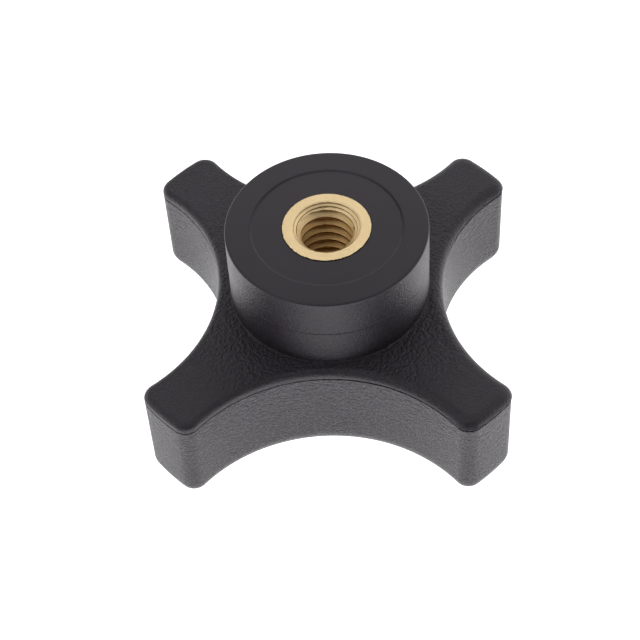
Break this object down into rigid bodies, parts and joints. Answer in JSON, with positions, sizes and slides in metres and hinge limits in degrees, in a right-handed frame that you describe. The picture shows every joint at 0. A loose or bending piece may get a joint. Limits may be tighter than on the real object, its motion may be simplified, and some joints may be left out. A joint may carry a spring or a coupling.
{
  "type": "clamping knob",
  "caption": "Cross-shaped hand knob in black textured plastic, with concave finger pockets between its arms and a round boss around a threaded, countersunk brass bush.",
  "frame": {"origin": "on the knob's axis, at the level of the flat user-side face it rests on", "axes": "+Z along the knob's axis, from the user side towards the boss face with the thread; the arms lie along X and Y"},
  "size_m": [0.0578, 0.0578, 0.0263],
  "materials": {
    "black_plastic": "charcoal black glass-filled nylon with a fine spark-eroded texture, and a smoother boss face",
    "brass": "pale yellow brass, faced and tapped, bare metal"
  },
  "bodies": {
    "root": {"knob_body": "black_plastic", "threaded_insert": "brass"}
  },
  "joints": []
}
